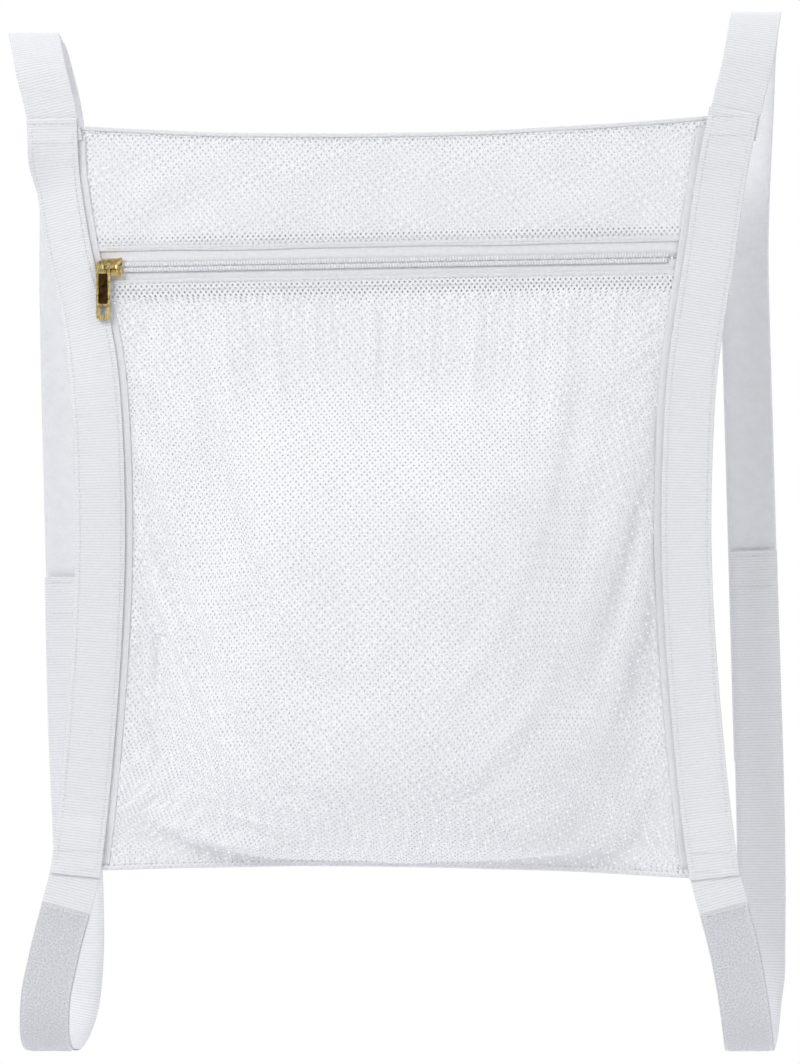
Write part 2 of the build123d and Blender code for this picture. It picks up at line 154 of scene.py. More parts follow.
def rim(node, up):
    """A sheet's top (1) or bottom (-1) edge: a smooth curve of its height against x."""
    points = node_points(node)
    low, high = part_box(node)
    points = points[up * points[:, 2] > up * (low.z + high.z) / 2]
    heights = []
    for x in np.arange(-150, 151, 20) * MM:
        column = points[np.abs(points[:, 0] - x) < 10 * MM]
        if len(column):
            heights.append(column[np.argmax(up * column[:, 2])])
    heights = np.array(heights)
    return np.poly1d(np.polyfit(heights[:, 0], heights[:, 2], 2))


top_edge = rim("front_panel_upper", 1)
bottom_edge = rim("front_panel_lower", -1)

slide_axis = Vector(joints["zip_slide"]["axis"])
CHAIN_SLOPE = slide_axis.z / slide_axis.x
coil_low, coil_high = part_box("zip_coil_lower"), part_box("zip_coil_upper")
coil_middle = (coil_low[0] + coil_high[1]) / 2
COIL_LEFT, COIL_RIGHT = coil_low[0].x, coil_low[1].x
COIL_Y = (coil_low[0].y + coil_low[1].y) / 2
front_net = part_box("front_panel_upper")
NET_FRONT_Y = front_net[0].y
NET_Y = (front_net[0].y + front_net[1].y) / 2
BACK_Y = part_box("back_panel")[1].y


def chain_z(x):
    return coil_middle.z + CHAIN_SLOPE * (x - coil_middle.x)


band_x, band_y = {}, {}
for side in SIDES:
    seam = node_points(f"side_webbing_{side}")
    band_x[side] = centre_line(seam, seam[:, 2], 0, 9 * MM, 4 * MM, 14 * MM)
    band_y[side] = centre_line(seam, seam[:, 2], 1, 1 * MM, 0.6 * MM, 2 * MM)


def run_ends(node):
    """The top and the low end of a band's run."""
    low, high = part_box(node)
    return high.z - END_TRIM, low.z + END_TRIM


def fade(distance, reach):
    """0 at a seam, rising smoothly to 1 a reach away from it."""
    t = np.clip(distance / reach, 0, 1)
    return t * t * (3 - 2 * t)


def roll_angle(z):
    """How far the left band is rolled back at a height."""
    rise = fade(ROLL_TOP_Z - z, ROLL_TOP_Z - ROLL_FULL_Z[0])
    fall = fade(z - ROLL_LOW_Z, ROLL_FULL_Z[1] - ROLL_LOW_Z)
    return ROLL * np.minimum(rise, fall)


def rolled(points):
    """Points with those outboard of the left band's inner edge turned back round that edge."""
    points = np.array(points, float)
    x, y, z = points.T
    inner = band_x["left"](z) + WEBBING_WIDTH / 2
    angle = roll_angle(z)
    out = inner - x
    turned = (out > 0) & (angle > 1e-4) & (y < ROLL_Y + 3 * MM)
    radius = ROLL_BEND / np.maximum(angle, 1e-4)
    bend = np.minimum(out, ROLL_BEND) / radius
    rest = np.maximum(out - ROLL_BEND, 0)
    depth = y - ROLL_Y
    new_x = inner - radius * np.sin(bend) - rest * np.cos(bend) + depth * np.sin(bend)
    new_y = ROLL_Y + radius * (1 - np.cos(bend)) + rest * np.sin(bend) + depth * np.cos(bend)
    points[turned, 0] = new_x[turned]
    points[turned, 1] = new_y[turned]
    return points


# ---- materials


def shader(name, colour, roughness, sheen=0.0, metallic=0.0):
    """A material and its node tree. Constant values are set on the shader itself."""
    material = bpy.data.materials.new(name)
    material.use_nodes = True
    tree = material.node_tree
    constants = {"Base Color": (*colour, 1), "Roughness": roughness, "Metallic": metallic,
                 "Sheen Weight": sheen, "Sheen Roughness": 0.5}
    for key, value in constants.items():
        tree.nodes["Principled BSDF"].inputs[key].default_value = value
    return material, tree


def add(tree, kind, inputs=(), **settings):
    """A node with its inputs, each a number, a colour or another node's output."""
    made = tree.nodes.new("ShaderNode" + kind)
    for key, value in settings.items():
        setattr(made, key, value)
    for key, value in dict(inputs).items():
        if isinstance(value, bpy.types.NodeSocket):
            tree.links.new(value, made.inputs[key])
        else:
            made.inputs[key].default_value = value
    return made


def drive(tree, socket, name):
    """Links a node's output to the shader's input of that name."""
    tree.links.new(socket, tree.nodes["Principled BSDF"].inputs[name])


def place_on(tree, kind):
    """Coordinates: the cloth's own flat ones (UV) or those in the object's space (Object)."""
    return add(tree, "TexCoord").outputs[kind]


def maths(tree, operation, *values):
    return add(tree, "Math", enumerate(values), operation=operation).outputs[0]


def noise(tree, vector, scale, detail=2.0):
    inputs = {"Vector": vector, "Scale": scale, "Detail": detail}
    return add(tree, "TexNoise", inputs).outputs["Fac"]


def tinted(tree, factor, low, high):
    """Colours the shader between two colours."""
    ramp = add(tree, "ValToRGB", {"Fac": factor})
    for stop, position, colour in zip(ramp.color_ramp.elements, (0.3, 0.7), (low, high)):
        stop.position = position
        stop.color = (*colour, 1)
    drive(tree, ramp.outputs["Color"], "Base Color")
    return ramp.outputs["Color"]


def bumped(tree, height, distance):
    bump = add(tree, "Bump", {"Height": height, "Distance": distance, "Strength": 1.0})
    drive(tree, bump.outputs["Normal"], "Normal")


def rough_by(tree, factor, low, high):
    spread = add(tree, "MapRange", {"Value": factor, "To Min": low, "To Max": high})
    drive(tree, spread.outputs["Result"], "Roughness")


def cloth_uv(tree):
    """The cloth's flat coordinates in metres, and its two directions in millimetres."""
    coordinates = place_on(tree, "UV")
    split = add(tree, "SeparateXYZ", {"Vector": coordinates})
    across = maths(tree, "MULTIPLY", split.outputs["X"], 1000.0)
    along = maths(tree, "MULTIPLY", split.outputs["Y"], 1000.0)
    return coordinates, across, along


def threads(tree, place, pitch):
    """Round threads side by side: 0 between two threads, 1 on top of each."""
    turn = maths(tree, "MULTIPLY", place, math.pi / pitch)
    return maths(tree, "ABSOLUTE", maths(tree, "SINE", turn))


def webbing_material():
    material, tree = shader("ribbed_webbing", (0.80, 0.80, 0.825), 0.72, 0.25)
    coordinates, across, along = cloth_uv(tree)
    mottle = noise(tree, coordinates, 900.0, 3.0)
    groove = threads(tree, along, RIB_PITCH / MM)
    warp = threads(tree, across, 0.62)
    streaks = noise(tree, add(tree, "VectorMath", {0: coordinates, 1: (2400, 260, 1)},
                              operation="MULTIPLY").outputs[0], 1.0, 2.0)
    # The grooves between the ribs are coloured darker: painted shade. The mottle and streaks are the
    # yarn's own uneven tone.
    shade = maths(tree, "MULTIPLY_ADD", maths(tree, "POWER", groove, 0.5), 0.45,
                  maths(tree, "MULTIPLY_ADD", mottle, 0.3, maths(tree, "MULTIPLY", streaks, 0.25)))
    tinted(tree, shade, (0.655, 0.655, 0.69), (0.845, 0.845, 0.865))
    rough_by(tree, mottle, 0.62, 0.82)
    height = maths(tree, "MULTIPLY_ADD", warp, 0.6, maths(tree, "MULTIPLY", streaks, 0.5))
    bumped(tree, height, 0.00012)
    return material


def net_material():
    material, tree = shader("knitted_net", (0.80, 0.80, 0.82), 0.7, 0.2)
    coordinates, across, along = cloth_uv(tree)
    yarn = noise(tree, coordinates, 2600.0, 2.0)
    patches = noise(tree, coordinates, 35.0, 2.0)
    shade = maths(tree, "MULTIPLY_ADD", yarn, 0.55, maths(tree, "MULTIPLY", patches, 0.45))
    tinted(tree, shade, (0.79, 0.79, 0.815), (0.89, 0.89, 0.91))
    rough_by(tree, yarn, 0.6, 0.8)
    principled = tree.nodes["Principled BSDF"]
    # A faint white glow on the net: painted light, which lightens its shaded parts as light through
    # the thin net would.
    principled.inputs["Emission Color"].default_value = (0.97, 0.97, 1, 1)
    principled.inputs["Emission Strength"].default_value = 0.07
    twist = threads(tree, maths(tree, "ADD", across, along), 0.42)
    bumped(tree, maths(tree, "MULTIPLY_ADD", twist, 0.5, yarn), 0.00008)
    return material


def tape_material(name, low, high, pitch):
    """A finely woven tape, with slanted twill lines."""
    material, tree = shader(name, high, 0.7, 0.2)
    coordinates, across, along = cloth_uv(tree)
    twill = threads(tree, maths(tree, "MULTIPLY_ADD", along, 0.8, across), pitch)
    weft = threads(tree, along, pitch * 0.8)
    soft = noise(tree, coordinates, 500.0, 3.0)
    shade = maths(tree, "MULTIPLY_ADD", twill, 0.3, maths(tree, "MULTIPLY", soft, 0.7))
    tinted(tree, shade, low, high)
    rough_by(tree, soft, 0.62, 0.8)
    bumped(tree, maths(tree, "ADD", twill, weft), 0.00006)
    return material


def pile_material():
    material, tree = shader("loop_pile", (0.80, 0.80, 0.82), 0.9, 0.5)
    coordinates = place_on(tree, "UV")
    fuzz = noise(tree, coordinates, 1500.0, 6.0)
    brushed = noise(tree, coordinates, 160.0, 3.0)
    shade = maths(tree, "MULTIPLY_ADD", fuzz, 0.5, maths(tree, "MULTIPLY", brushed, 0.5))
    tinted(tree, shade, (0.76, 0.76, 0.785), (0.85, 0.85, 0.87))
    rough_by(tree, fuzz, 0.8, 0.98)
    bumped(tree, fuzz, 0.0004)
    return material


def hook_material():
    material, tree = shader("hook_tape", (0.70, 0.70, 0.73), 0.5)
    coordinates = place_on(tree, "UV")
    speckle = noise(tree, coordinates, 1100.0, 4.0)
    tinted(tree, speckle, (0.52, 0.52, 0.55), (0.80, 0.80, 0.83))
    rough_by(tree, speckle, 0.4, 0.7)
    bumped(tree, speckle, 0.0002)
    return material


def coil_material():
    material, tree = shader("nylon_coil", (0.84, 0.84, 0.86), 0.4)
    spot = place_on(tree, "Object")
    wear = noise(tree, spot, 700.0, 3.0)
    tinted(tree, wear, (0.76, 0.76, 0.79), (0.88, 0.88, 0.90))
    rough_by(tree, wear, 0.3, 0.5)
    bumped(tree, wear, 0.00004)
    return material


def thread_material():
    material, tree = shader("sewing_thread", (0.86, 0.86, 0.88), 0.6, 0.3)
    spot = place_on(tree, "Object")
    ply = add(tree, "TexWave", {"Vector": spot, "Scale": 900.0, "Distortion": 2.0},
              bands_direction="DIAGONAL").outputs["Fac"]
    tinted(tree, ply, (0.78, 0.78, 0.80), (0.90, 0.90, 0.91))
    rough_by(tree, ply, 0.5, 0.7)
    bumped(tree, ply, 0.00005)
    return material


# Painted shade: the near-black colour put into the pull's recess, where shade falls.
RECESS_PAINTED_SHADE = (0.10, 0.05, 0.015, 1)


def brass_material(name, painted_shade_y=None):
    """Gold plating: bright where edges are rubbed, duller and warmer in the hollows. Given a depth,
    the recess behind it is coloured nearly black: painted shade."""
    material, tree = shader(name, (0.80, 0.55, 0.18), 0.24, metallic=1.0)
    spot = place_on(tree, "Object")
    scratches = add(tree, "VectorMath", {0: spot, 1: (2600, 900, 260)},
                    operation="MULTIPLY").outputs[0]
    brushed = noise(tree, scratches, 1.0, 4.0)
    tarnish = noise(tree, spot, 420.0, 3.0)
    edges = add(tree, "NewGeometry").outputs["Pointiness"]
    rubbed = add(tree, "MapRange", {"Value": edges, "From Min": 0.49, "From Max": 0.56})
    worn = maths(tree, "MULTIPLY_ADD", rubbed.outputs["Result"], 0.6,
                 maths(tree, "MULTIPLY", tarnish, 0.55))
    colour = tinted(tree, worn, (0.60, 0.36, 0.07), (1.0, 0.77, 0.33))
    # Painted shade: the recess behind the given depth is coloured nearly black.
    if painted_shade_y is not None:
        y = add(tree, "SeparateXYZ", {"Vector": spot}).outputs["Y"]
        depth = add(tree, "MapRange", {"Value": y, "From Min": painted_shade_y - 0.1 * MM,
                                                 "From Max": painted_shade_y + 0.1 * MM})
        dark = add(tree, "Mix", data_type="RGBA")
        tree.links.new(depth.outputs["Result"], dark.inputs["Factor"])
        tree.links.new(colour, dark.inputs["A"])
        dark.inputs["B"].default_value = RECESS_PAINTED_SHADE
        drive(tree, dark.outputs["Result"], "Base Color")
    rough_by(tree, tarnish, 0.06, 0.18)
    dents = noise(tree, spot, 260.0, 1.0)
    bumped(tree, maths(tree, "MULTIPLY_ADD", dents, 3.5, brushed), 0.00004)
    return material


WEBBING_LOOK = webbing_material()
NET_LOOK = net_material()
ZIP_TAPE_LOOK = tape_material("zip_tape", (0.77, 0.77, 0.79), (0.87, 0.87, 0.885), 0.7)
SEAM_TAPE_LOOK = tape_material("binding_tape", (0.78, 0.78, 0.81), (0.86, 0.86, 0.88), 0.5)
PILE_LOOK = pile_material()
HOOK_LOOK = hook_material()
COIL_LOOK = coil_material()
THREAD_LOOK = thread_material()
SLIDER_LOOK = brass_material("gold_plating")
# The pull's recess behind this depth is coloured with painted shade.
PULL_LOOK = brass_material("gold_plating_pull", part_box("pull_tab")[0].y + 0.17 * MM)


# ---- mesh building


def build(name, points, faces, look, uv=None):
    """A mesh object from points and faces, with its flat cloth directions as UV."""
    mesh = bpy.data.meshes.new(name)
    mesh.from_pydata(np.asarray(points).tolist(), [], faces)
    mesh.polygons.foreach_set("use_smooth", [True] * len(mesh.polygons))
    if uv is not None:
        corner = np.empty(len(mesh.loops), int)
        mesh.loops.foreach_get("vertex_index", corner)
        layer = mesh.uv_layers.new(name="flat")
        layer.data.foreach_set("uv", np.asarray(uv)[corner].ravel())
    mesh.materials.append(look)
    mesh.update()
    piece = bpy.data.objects.new(name, mesh)
    bpy.context.collection.objects.link(piece)
    return piece


def tube_faces(rows, columns, flip=False):
    """Quads round a closed profile swept through rows, with both ends capped."""
    faces = []
    for i in range(rows - 1):
        for k in range(columns):
            a, b = i * columns + k, i * columns + (k + 1) % columns
            faces.append((a, b, b + columns, a + columns))
    faces.append(tuple(reversed(range(columns))))
    faces.append(tuple(range((rows - 1) * columns, rows * columns)))
    return [tuple(reversed(f)) for f in faces] if flip else faces


def outward(points, faces):
    """The faces, turned round if the closed mesh is inside out, as a sample of them shows."""
    volume = 0.0
    for face in faces[:: max(1, len(faces) // FACE_SAMPLE)]:
        a, b, c = (points[face[0]], points[face[1]], points[face[2]])
        volume += np.dot(a - points.mean(axis=0), np.cross(b - a, c - a))
    return faces if volume > 0 else [tuple(reversed(f)) for f in faces]


FACE_SAMPLE = 4000
SELVEDGES = [2, 10]
FACE_COLUMNS = np.array([-1, -0.965, -0.91, -0.87, -0.6, -0.3, 0, 0.3, 0.6, 0.87, 0.91, 0.965, 1])
BACK_COLUMNS = np.array([0.96, 0.6, 0.2, -0.2, -0.6, -0.96])


def profile():
    """The webbing's section: places across (-1 to 1), and how far out of the middle (-1 to 1)."""
    across = np.concatenate([FACE_COLUMNS, BACK_COLUMNS])
    front = 1 - 0.5 * np.abs(FACE_COLUMNS) ** 24
    front[SELVEDGES] -= 0.16
    out = np.concatenate([front, -np.ones(len(BACK_COLUMNS))])
    return across, out


def directions(centre, out, ways):
    """Along a band and across it, towards the bag's right side."""
    along = np.gradient(centre, ways, axis=0)
    along /= np.linalg.norm(along, axis=1)[:, None]
    across = np.cross(along, out)
    return along, across * np.sign(across[:, :1])


def swept(name, centre, out, ways, width, thick, look, relief=None, warp=None):
    """A band through centres that face outwards. relief(ways, across) lifts its surface, and
    warp(points) bends the whole."""
    across = directions(centre, out, ways)[1]
    across /= np.linalg.norm(across, axis=1)[:, None]
    s, t = profile()
    lift = t[None, :] * (thick / 2)
    if relief is not None:
        lift = lift + np.sign(t)[None, :] * relief(ways[:, None], s[None, :])
    lift[0] *= 0.6
    lift[-1] *= 0.6
    points = (
        centre[:, None, :]
        + across[:, None, :] * (s * width / 2)[None, :, None]
        + out[:, None, :] * lift[:, :, None]
    ).reshape(-1, 3)
    uv = np.stack([np.tile(s * width / 2, len(ways)), np.repeat(ways, len(s))], axis=1)
    faces = outward(points, tube_faces(len(ways), len(s)))
    if warp is not None:
        points = warp(points)
    return build(name, points, faces, look, uv)


def ribbed(ways, across):
    """Flat ribs with narrow grooves between them, a little uneven."""
    phase = (ways / RIB_PITCH) % 1
    groove = np.abs(phase - 0.5) * 2
    uneven = 1 + 0.25 * np.sin(ways * 610) + 0.2 * np.sin(ways * 1730 + across * 3)
    return RIB_DEPTH * (0.35 - groove**3 * uneven) + 0 * across


def rib_rows(start, end):
    """Rows along a band, four to each rib."""
    count = int(round(abs(end - start) / (RIB_PITCH / 4)))
    return start + (end - start) * np.arange(count + 1) / count


def wander(ways, seed, size):
    """Slow unevenness of a soft strap."""
    return size * (np.sin(ways * 47 + seed) + 0.6 * np.sin(ways * 89 + 2.3 * seed))


# ---- straps


class Loop:
    """A strap's path: a front run, a half-round fold at its top or bottom, and a back run. Its way
    is counted from the middle of the fold, negative on the front run."""

    def __init__(self, front_y, back_y, centre_z, up):
        self.middle_y = (front_y + back_y) / 2
        self.radius = (back_y - front_y) / 2
        self.centre_z, self.up = centre_z, up
        self.turn = math.pi * self.radius / 2

    def way(self, points):
        y, past = points[:, 1] - self.middle_y, self.up * (points[:, 2] - self.centre_z)
        on_fold = self.radius * np.arctan2(y, np.maximum(past, 0))
        return np.where(past > 0, on_fold, np.sign(y) * (self.turn - past))

    def at(self, ways):
        """(y, z) and the outward (y, z) at ways."""
        angle = np.clip(ways / self.radius, -math.pi / 2, math.pi / 2)
        beyond = np.maximum(np.abs(ways) - self.turn, 0)
        out_y, out_z = np.sin(angle), self.up * np.cos(angle)
        y = self.middle_y + self.radius * out_y
        z = self.centre_z + self.radius * out_z - self.up * beyond
        return y, z, out_y, out_z


class Strap:
    """One strap of the bag: its centre line in the frame, read from its two CAD nodes."""

    def __init__(self, which, side):
        self.which, self.side = which, side
        fixed, tail = node_points(f"{which}_strap_{side}"), node_points(f"{which}_strap_tail_{side}")
        hinge = joints[f"{which}_strap_peel_{side}"]["pos_m"]
        self.hinge = Vector(hinge)
        up = 1 if which == "upper" else -1
        front_y = fixed[:, 1].min() + WEBBING / 2
        back_y = tail[:, 1].max() - WEBBING / 2
        self.loop = Loop(front_y, back_y, hinge[2], up)
        points = np.concatenate([fixed, tail])
        ways = self.loop.way(points)
        self.start, self.end = ways.min() + 1 * MM, ways.max() - 1 * MM
        self.x = centre_line(points, ways, 0, 9 * MM, 4 * MM, 14 * MM)
        self.seed = 1.7 * SIDES[side] + 0.9 * up

    def rows(self, ways, lift=0.0):
        """Centres and outward directions, with the strap's own slow unevenness."""
        y, z, out_y, out_z = self.loop.at(ways)
        out = np.stack([0 * ways, out_y, out_z], axis=1)
        centre = np.stack([self.x(ways), y, z], axis=1)
        calm = np.clip((ways - self.start) / (30 * MM), 0, 1)
        shift = wander(ways, self.seed, 0.14 * MM) * calm
        return centre + out * (lift + shift)[:, None], out

    def patch_start(self):
        """The way where the hook tape starts, on the front run."""
        return -(self.loop.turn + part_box(f"hook_tape_{self.side}")[1].z - self.hinge.z)

    def swing(self, piece):
        """The piece's place in the frame is baked into its mesh."""
        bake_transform(piece)


def strap_webbing(strap):
    """One length of webbing, from its sewn end round the fold to its tail's end."""
    ways = rib_rows(strap.start, strap.end)
    centre, out = strap.rows(ways)
    which, side = strap.which, strap.side
    piece = swept(f"{which}_webbing_{side}", centre, out, ways, WEBBING_WIDTH,
                  WEBBING - 2 * RIB_DEPTH, WEBBING_LOOK, ribbed)
    strap.swing(piece)
    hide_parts(f"{which}_strap_{side}", f"{which}_strap_tail_{side}")


def pile_tape(strap):
    """The soft half of the closure, on the upper strap's inner face."""
    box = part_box(f"loop_tape_{strap.side}")
    start = strap.loop.turn - 34 * MM
    end = strap.loop.turn + (strap.hinge.z - box[0].z) - 2 * MM
    ways = np.arange(start, end, 1.1 * MM)
    lift = -(WEBBING + PILE_THICK) / 2
    centre, out = strap.rows(ways, lift)

    def brushed(w, s):
        wave = np.sin(w * 2900 + 7 * np.sin(s * 9)) * np.sin(s * 31 + w * 870)
        return 0.07 * MM * wave + 0.05 * MM * np.sin(w * 5300 + s * 57)

    piece = swept(f"pile_tape_{strap.side}", centre, out, ways, TAPE_WIDTH, PILE_THICK - 0.25 * MM,
                  PILE_LOOK, brushed)
    strap.swing(piece)
    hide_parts(f"loop_tape_{strap.side}")


def hook_tape(strap):
    """The hook half, on the lower strap's outer face: a woven base with rows of small hooks."""
    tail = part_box(f"hook_tape_tail_{strap.side}")
    start = strap.patch_start()
    end = strap.loop.turn + tail[1].z - strap.hinge.z
    lift = (WEBBING + HOOK_BASE) / 2 + 0.02 * MM
    ways = np.arange(start, end, 2 * MM)
    centre, out = strap.rows(ways, lift)
    base = swept(f"hook_tape_{strap.side}_base", centre, out, ways, TAPE_WIDTH, HOOK_BASE,
                 HOOK_LOOK)
    strap.swing(base)
    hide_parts(f"hook_tape_{strap.side}", f"hook_tape_tail_{strap.side}")
    hooks = hook_field(strap, start + 2 * MM, end - 2 * MM, lift + HOOK_BASE / 2)
    strap.swing(hooks)


def hook_field(strap, start, end, lift):
    """Rows of little hooks, each a bent tapering stalk."""
    rows = np.arange(start, end, HOOK_PITCH)
    half = TAPE_WIDTH / 2 - 2 * MM
    places = np.arange(-half, half, HOOK_PITCH)
    centre, out = strap.rows(rows, lift)
    along, across = directions(centre, out, rows)
    stages = [(0.0, 0.0, 0.2), (0.22, 0.02, 0.15), (0.36, 0.16, 0.12), (0.3, 0.34, 0.05)]
    ring = [(1, 0), (-0.5, 0.87), (-0.5, -0.87)]
    corners = len(ring)
    points, faces, uv = [], [], []
    for i in range(len(rows)):
        for k, place in enumerate(places + (HOOK_PITCH / 2 if i % 2 else 0)):
            foot = centre[i] + across[i] * place
            first = len(points)
            turn = 1 if (i + k) % 2 else -1
            for height, reach, thick in stages:
                middle = foot + (out[i] * height + along[i] * reach * turn) * MM
                for a, b in ring:
                    points.append(middle + (across[i] * a + along[i] * b) * thick * MM)
                    uv.append((place, rows[i]))
            for level in range(len(stages) - 1):
                start = first + level * corners
                for j in range(corners):
                    a, b = start + j, start + (j + 1) % corners
                    faces.append((a, b, b + corners, a + corners))
            top = first + corners * (len(stages) - 1)
            faces.append((top, top + 1, top + 2))
    return build(f"hook_tape_{strap.side}_hooks", points, faces, HOOK_LOOK, uv)


straps = {(w, s): Strap(w, s) for w in ("upper", "lower") for s in SIDES}
for strap in straps.values():
    strap_webbing(strap)
    if strap.which == "upper":
        pile_tape(strap)
    else:
        hook_tape(strap)


# ---- side bands and their binding


def side_band(side):
    """The ribbed band down a side seam. Its ends lie in front of the straps, with folded edges."""
    z_top, z_low = run_ends(f"side_webbing_{side}")
    ways = rib_rows(-z_top, -z_low)
    z = -ways
    centre = np.stack([band_x[side](z), band_y[side](z), z], axis=1)
    out = np.tile(FRONT, (len(ways), 1))

    def folded_ends(w, s):
        """Ribs that swell into a soft ridge where the band's end is folded under."""
        from_end = np.minimum(w - ways[0], ways[-1] - w)
        ridge = 0.3 * MM * np.exp(-(((from_end - 1.6 * MM) / (1.5 * MM)) ** 2))
        pad = 0.1 * MM * np.clip((20 * MM - from_end) / (3 * MM), 0, 1)
        return ribbed(w, s) + ridge + pad

    piece = swept(f"side_band_{side}", centre, out, ways, WEBBING_WIDTH, WEBBING - 2 * RIB_DEPTH,
                  WEBBING_LOOK, folded_ends, rolled)
    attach(piece, "bag")
    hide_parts(f"side_webbing_{side}")


def binding(side):
    """The smooth tape under the band, which shows along its inner edge."""
    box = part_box(f"seam_tape_{side}")
    z = np.arange(*run_ends(f"seam_tape_{side}"), -2 * MM)
    x = band_x[side](z) - SIDES[side] * SEAM_TAPE_WIDTH / 2
    y = np.full(len(z), (box[0].y + box[1].y) / 2) + wander(z, 2.0, 0.06 * MM)
    centre = np.stack([x, y, z], axis=1)
    out = np.tile(FRONT, (len(z), 1))
    piece = swept(f"binding_tape_{side}", centre, out, -z, SEAM_TAPE_WIDTH, SEAM_TAPE,
                  SEAM_TAPE_LOOK, None, rolled)
    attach(piece, "bag")
    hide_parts(f"seam_tape_{side}")


for side in SIDES:
    side_band(side)
    binding(side)


# ---- net


def inner_edge(side, z, inboard=0.0):
    return band_x[side](z) - SIDES[side] * (WEBBING_WIDTH / 2 + inboard)


def lattice(width, length):
    """The net laid flat, its middle at x 0 and its top at z 0: points, the quads between its holes,
    and each point's relief. The quads between the holes share the holes' four corners."""
    px, pz = HOLE_PITCH / 2, ROW_PITCH / 2
    ni, nj = int(width / px) + 2, int(length / pz) + 2
    index = -np.ones((ni + 2, nj + 2), int)
    i, j = np.meshgrid(np.arange(1, ni + 1), np.arange(1, nj + 1), indexing="ij")
    holes = (i + j) % 2 == 0
    index[i[holes], j[holes]] = np.arange(holes.sum())
    x = (i[holes] - ni / 2) * px
    z = -(j[holes] - 1) * pz
    right, top, left, bottom = range(4)
    offset = np.array([(HOLE_HALF_WIDTH, 0), (0, HOLE_HALF_HEIGHT), (-HOLE_HALF_WIDTH, 0),
                       (0, -HOLE_HALF_HEIGHT)])
    points = (np.stack([x, z], axis=1)[:, None, :] + offset[None]).reshape(-1, 2)
    relief = np.tile([-1.0, 1.0, -1.0, 1.0], len(x)) * NET_RELIEF

    def corner(di, dj, which):
        found = index[i + di, j + dj]
        return np.where(found < 0, -1, found * 4 + which)

    between = ~holes
    up, down = -1, 1
    junction = [corner(-1, 0, right), corner(0, down, top), corner(1, 0, left), corner(0, up, bottom)]
    rising = [corner(0, 0, right), corner(1, up, bottom), corner(1, up, left), corner(0, 0, top)]
    falling = [corner(0, 0, top), corner(-1, up, right), corner(-1, up, bottom), corner(0, 0, left)]
    quads = [np.stack([c[between] for c in junction], axis=1)]
    quads += [np.stack([c[holes] for c in strand], axis=1) for strand in (rising, falling)]
    quads = np.concatenate(quads)
    return points, quads[(quads >= 0).all(axis=1)], relief


def knitted(name, flat, quads, keep, place, relief):
    """A net piece from the flat lattice: place(flat) gives its points and normals."""
    quads = quads[keep[quads].all(axis=1)]
    used, quads = np.unique(quads, return_inverse=True)
    quads = quads.reshape(-1, 4)
    points, normals = place(flat[used])
    points = rolled(points + normals * relief[used][:, None])
    piece = build(name, points, quads.tolist(), NET_LOOK, flat[used])
    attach(piece, "bag")
    holes = len(quads) / QUADS_PER_HOLE
    piece["cut_area"] = holes * HOLE_PITCH * ROW_PITCH / 2
    return piece


def under_bands(x, z):
    """True where a place lies between the two bands or under them, short of their outer edges."""
    reach = WEBBING_WIDTH / 2 - 2 * MM
    left, right = band_x["left"](z) - reach, band_x["right"](z) + reach
    return (x > left) & (x < right)


def flat_net(name, node, z_high, z_low, y, wave, turn):
    """A flat net sheet between two edges, with slow waves in its depth and its rows turned."""
    ends = np.array([-SEAM_X, 0, SEAM_X])
    middle = (z_high(ends).max() + z_low(ends).min()) / 2
    span = z_high(ends).max() - z_low(ends).min()
    height = span * math.cos(turn) + LATTICE_WIDTH * abs(math.sin(turn))
    width = LATTICE_WIDTH * math.cos(turn) + span * abs(math.sin(turn))
    flat, quads, relief = lattice(width, height)

    def laid(chosen):
        px, pz = chosen[:, 0], chosen[:, 1] + height / 2
        x = px * math.cos(turn) - pz * math.sin(turn)
        return x, middle + px * math.sin(turn) + pz * math.cos(turn)

    x, z = laid(flat)
    keep = under_bands(x, z) & (z < z_high(x)) & (z > z_low(x))

    def place(chosen):
        px, pz = laid(chosen)
        points = np.stack([px, y + wave(px, pz), pz], axis=1)
        return points, np.tile(FRONT, (len(points), 1))

    piece = knitted(name, flat, quads, keep, place, relief)
    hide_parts(node)
    return piece


def seam_distance(x, z, inboard=4 * MM):
    """How far inside a line, inboard of the nearer band's inner edge, a place lies."""
    return np.minimum(x - inner_edge("left", z, inboard), inner_edge("right", z, inboard) - x)


def upper_wave(x, z):
    """Slow ripples above the zip, with pulls that run down from the strap corners."""
    from_seams = fade(seam_distance(x, z), 35 * MM)
    from_edges = fade(np.minimum(top_edge(x) - z, z - chain_z(x) - NET_ABOVE_CHAIN), 22 * MM)
    ripple = np.sin(x * 38 + z * 21) + 0.6 * np.sin(x * 71 - z * 55 + 1.1)
    pull = np.sin((x - z * 1.6) * 105) * np.exp(-np.abs(x + 0.13) / 0.05)
    pull += np.sin((x + z * 1.5) * 98 + 0.8) * np.exp(-np.abs(x - 0.13) / 0.05)
    return -from_seams * from_edges * (1.1 * MM + 0.8 * MM * ripple + 0.9 * MM * pull)


def back_wave(x, z):
    """The back sheet billows a little towards the door, away from the zip's slider."""
    from_seams = fade(seam_distance(x, z), 45 * MM)
    from_edges = fade(np.minimum(top_edge(x) - z, z - bottom_edge(x)), 40 * MM)
    ripple = 0.5 + 0.3 * np.sin(x * 31 - z * 17) + 0.2 * np.sin(x * 13 + z * 43 + 0.7)
    return from_seams * from_edges * 1.6 * MM * ripple


WELL_IN_FRONT = -0.3


